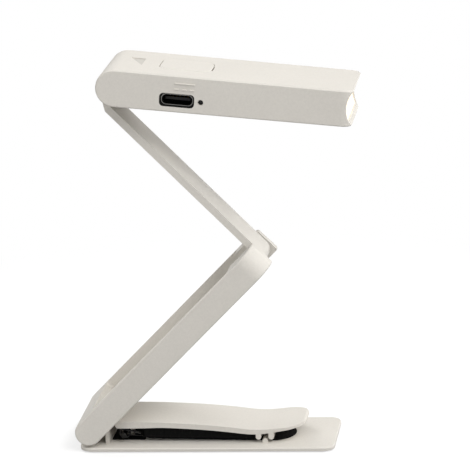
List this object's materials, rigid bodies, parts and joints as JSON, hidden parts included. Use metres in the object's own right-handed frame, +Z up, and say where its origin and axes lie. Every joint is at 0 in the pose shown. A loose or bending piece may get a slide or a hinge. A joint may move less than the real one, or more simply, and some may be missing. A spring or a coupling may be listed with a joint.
{
  "type": "folding clip-on reading light",
  "caption": "Folding reading light: a flat base with a sprung clip, two hinged arms that nest into each other, and a flat head with a nose light, push button and charging socket.",
  "frame": {"origin": "centre of the base plate's underside", "axes": "+X along the base plate towards the clip's tip, +Y across the light, +Z up"},
  "size_m": [0.0824, 0.025, 0.11],
  "materials": {
    "shell_white": "fine satin moulding",
    "pin_steel": "ground",
    "spring_steel": "drawn wire",
    "screw_steel": "blackened",
    "socket_steel": "formed sheet",
    "washer_plastic": "slippery",
    "grip_rubber": "matt",
    "board_green": "solder mask",
    "board_white": "solder mask",
    "socket_black": "moulded",
    "chip_black": "moulded",
    "indicator_lamp": "clear resin",
    "indicator_clear": "smoky clear plastic",
    "plunger_grey": "moulded",
    "button_white": "fine satin moulding",
    "cell_pouch": "laminated foil",
    "foam_tape": "foam",
    "chip_yellow": "phosphor",
    "lens_frosted": "frosted",
    "lead_red": "insulation"
  },
  "bodies": {
    "base": {"base_plate": "shell_white", "base_hinge_pin": "pin_steel", "base_hinge_washers": "washer_plastic", "base_grip_pad": "grip_rubber", "clip_pin": "pin_steel", "clip_springs": "spring_steel"},
    "clip_jaw": {"clip_jaw": "shell_white", "jaw_grip_pad": "grip_rubber"},
    "lower_arm": {"lower_arm": "shell_white", "elbow_pin": "pin_steel", "elbow_washers": "washer_plastic"},
    "upper_arm": {"upper_arm": "shell_white"},
    "head": {"head_housing": "shell_white", "head_cover": "shell_white", "cover_screws": "screw_steel", "head_hinge_pin": "pin_steel", "head_hinge_washers": "washer_plastic", "main_board": "board_green", "board_screws": "screw_steel", "charge_socket_shell": "socket_steel", "charge_socket_core": "socket_black", "charge_chip": "chip_black", "indicator_light": "indicator_lamp", "indicator_window": "indicator_clear", "tact_switch": "chip_black", "battery_cell": "cell_pouch", "battery_tape": "foam_tape", "light_board": "board_white", "light_chips": "chip_yellow", "light_lens": "lens_frosted", "light_leads": "lead_red"},
    "power_button": {"power_button": "button_white", "switch_plunger": "plunger_grey"}
  },
  "joints": [
    {"name": "clip_hinge", "type": "hinge", "parent": "base", "child": "clip_jaw", "pos_m": [-0.0237, 0, 0.00345], "axis": [0, -1, 0], "range_deg": [0, 15], "stiffness_Nm_per_rad": 0.2, "springref_deg": -34.38},
    {"name": "base_hinge", "type": "hinge", "parent": "base", "child": "lower_arm", "pos_m": [-0.033, 0, 0.0058], "axis": [0, -1, 0], "range_deg": [-28, 80]},
    {"name": "elbow_hinge", "type": "hinge", "parent": "lower_arm", "child": "upper_arm", "pos_m": [0.01583, 0, 0.0539], "axis": [0, 1, 0], "range_deg": [-91.31, 88.69]},
    {"name": "head_hinge", "type": "hinge", "parent": "upper_arm", "child": "head", "pos_m": [-0.01917, 0, 0.1048], "axis": [0, -1, 0], "range_deg": [-40.49, 45]},
    {"name": "power_button_push", "type": "slide", "parent": "head", "child": "power_button", "axis": [-0.1089, 0, -0.9941], "range_m": [0, 0.0003], "stiffness_N_per_m": 3000, "springref_m": -0.0002}
  ]
}
